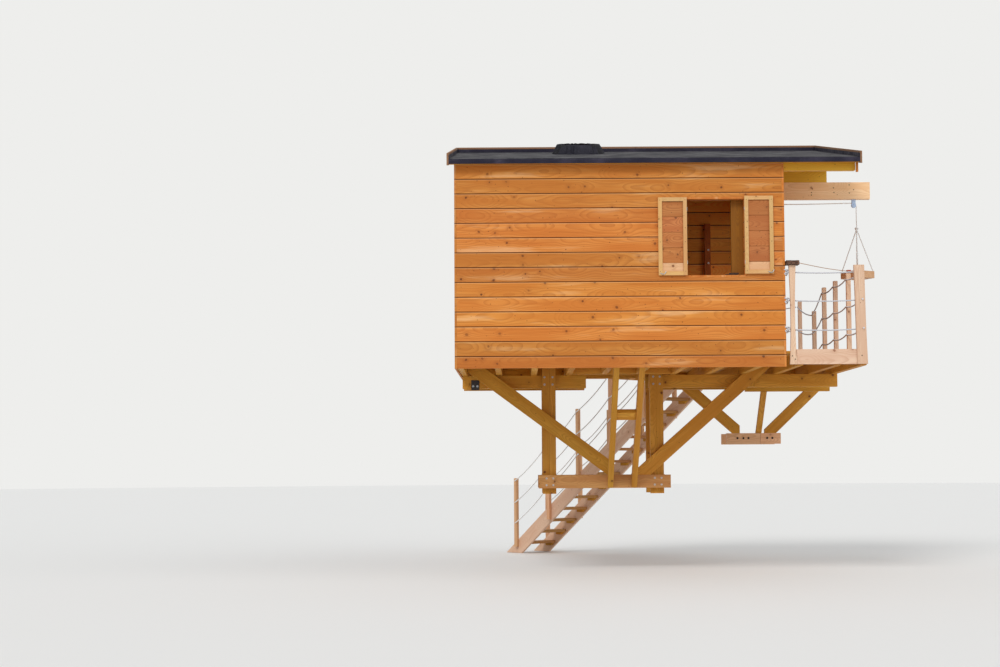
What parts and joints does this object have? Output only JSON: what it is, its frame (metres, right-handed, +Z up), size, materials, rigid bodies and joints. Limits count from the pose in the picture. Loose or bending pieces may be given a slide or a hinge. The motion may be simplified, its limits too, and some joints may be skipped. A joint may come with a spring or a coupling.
{
  "type": "tree house",
  "caption": "Boarded timber tree house with a lean-to roof, shuttered window, roped side deck and open stair, clamped to a leaning trunk by braced collar beams.",
  "frame": {"origin": "Middle of the flat back face of the front collar beam, where it bears on the trunk.", "axes": "X to the right along the front wall, Y back from the front wall into the cabin, Z up."},
  "size_m": [5.4983, 6.8318, 5.8259],
  "materials": {
    "barge_boards": "weathered sawn timber",
    "brace_blocks": "sawn timber, oiled",
    "brace_front_left": "sawn timber, oiled",
    "brace_front_right": "sawn timber, oiled",
    "cabin_floor": "planed boards",
    "collar_bolts": "galvanised",
    "corner_battens": "planed timber, oiled",
    "deck_front_posts": "planed plank with natural edges",
    "deck_joists": "sawn timber, oiled",
    "deck_kick_board": "planed board",
    "deck_rims": "sawn timber, oiled",
    "door_lining": "planed timber",
    "door_lintel": "framed and boarded",
    "front_bearers": "sawn timber, oiled",
    "front_collar": "sawn timber, oiled",
    "front_plate": "sawn timber, oiled",
    "front_wall": "framed and boarded",
    "hanger_posts": "sawn timber, oiled",
    "hoist_beam": "planed beam, oiled",
    "hoist_pulley": "worn blue-grey paint",
    "hoist_rope": "laid rope",
    "hoist_tray": "planed boards",
    "joist_headers": "sawn timber, oiled",
    "left_wall": "framed and boarded",
    "middle_beam": "planed beam, oiled",
    "post_cap": "rough bark",
    "rafter_headers": "sawn timber",
    "rafters": "sawn timber",
    "rail_posts": "planed timber",
    "rail_ropes": "laid rope",
    "rear_bearer_end": "sawn timber, oiled",
    "rear_bearers": "sawn timber, oiled",
    "rear_collar": "sawn timber, oiled",
    "rear_deck_boards": "planed boards",
    "rear_kerb": "weathered sawn timber",
    "rear_wall": "framed and boarded",
    "right_wall_front": "framed and boarded",
    "right_wall_rear": "framed and boarded",
    "roof_boards": "sawn boards",
    "roof_felt": "matt roofing sheet",
    "roof_nosing": "sawn timber",
    "second_bearer": "sawn timber, oiled",
    "second_braces": "sawn timber, oiled",
    "second_collars": "sawn timber, oiled",
    "side_deck_boards": "planed boards",
    "stair_cleats": "sawn timber",
    "stair_posts": "planed timber",
    "stair_ropes": "laid rope",
    "stair_stringers": "sawn timber, oiled",
    "stair_treads": "planed timber",
    "steel_plate": "black paint",
    "tag_line": "twine",
    "trunk_boot": "matt ribbed collar",
    "trunk_braces": "planed timber, oiled",
    "wall_boarding": "planed boards, oiled",
    "wall_studs": "sawn timber",
    "window_lining": "planed timber",
    "window_shutters": "planed timber, oiled"
  },
  "bodies": {
    "root": {"barge_boards": "barge_boards", "brace_blocks": "brace_blocks", "brace_front_left": "brace_front_left", "brace_front_right": "brace_front_right", "cabin_floor": "cabin_floor", "collar_bolts": "collar_bolts", "corner_battens": "corner_battens", "deck_front_posts": "deck_front_posts", "deck_joists": "deck_joists", "deck_kick_board": "deck_kick_board", "deck_rims": "deck_rims", "door_lining": "door_lining", "door_lintel": "door_lintel", "front_bearers": "front_bearers", "front_collar": "front_collar", "front_plate": "front_plate", "front_wall": "front_wall", "hanger_posts": "hanger_posts", "hoist_beam": "hoist_beam", "hoist_pulley": "hoist_pulley", "hoist_rope": "hoist_rope", "hoist_tray": "hoist_tray", "joist_headers": "joist_headers", "left_wall": "left_wall", "middle_beam": "middle_beam", "post_cap": "post_cap", "rafter_headers": "rafter_headers", "rafters": "rafters", "rail_posts": "rail_posts", "rail_ropes": "rail_ropes", "rear_bearer_end": "rear_bearer_end", "rear_bearers": "rear_bearers", "rear_collar": "rear_collar", "rear_deck_boards": "rear_deck_boards", "rear_kerb": "rear_kerb", "rear_wall": "rear_wall", "right_wall_front": "right_wall_front", "right_wall_rear": "right_wall_rear", "roof_boards": "roof_boards", "roof_felt": "roof_felt", "roof_nosing": "roof_nosing", "second_bearer": "second_bearer", "second_braces": "second_braces", "second_collars": "second_collars", "side_deck_boards": "side_deck_boards", "stair_cleats": "stair_cleats", "stair_posts": "stair_posts", "stair_ropes": "stair_ropes", "stair_stringers": "stair_stringers", "stair_treads": "stair_treads", "steel_plate": "steel_plate", "tag_line": "tag_line", "trunk_boot": "trunk_boot", "trunk_braces": "trunk_braces", "wall_boarding": "wall_boarding", "wall_studs": "wall_studs", "window_lining": "window_lining", "window_shutters": "window_shutters"}
  },
  "joints": []
}
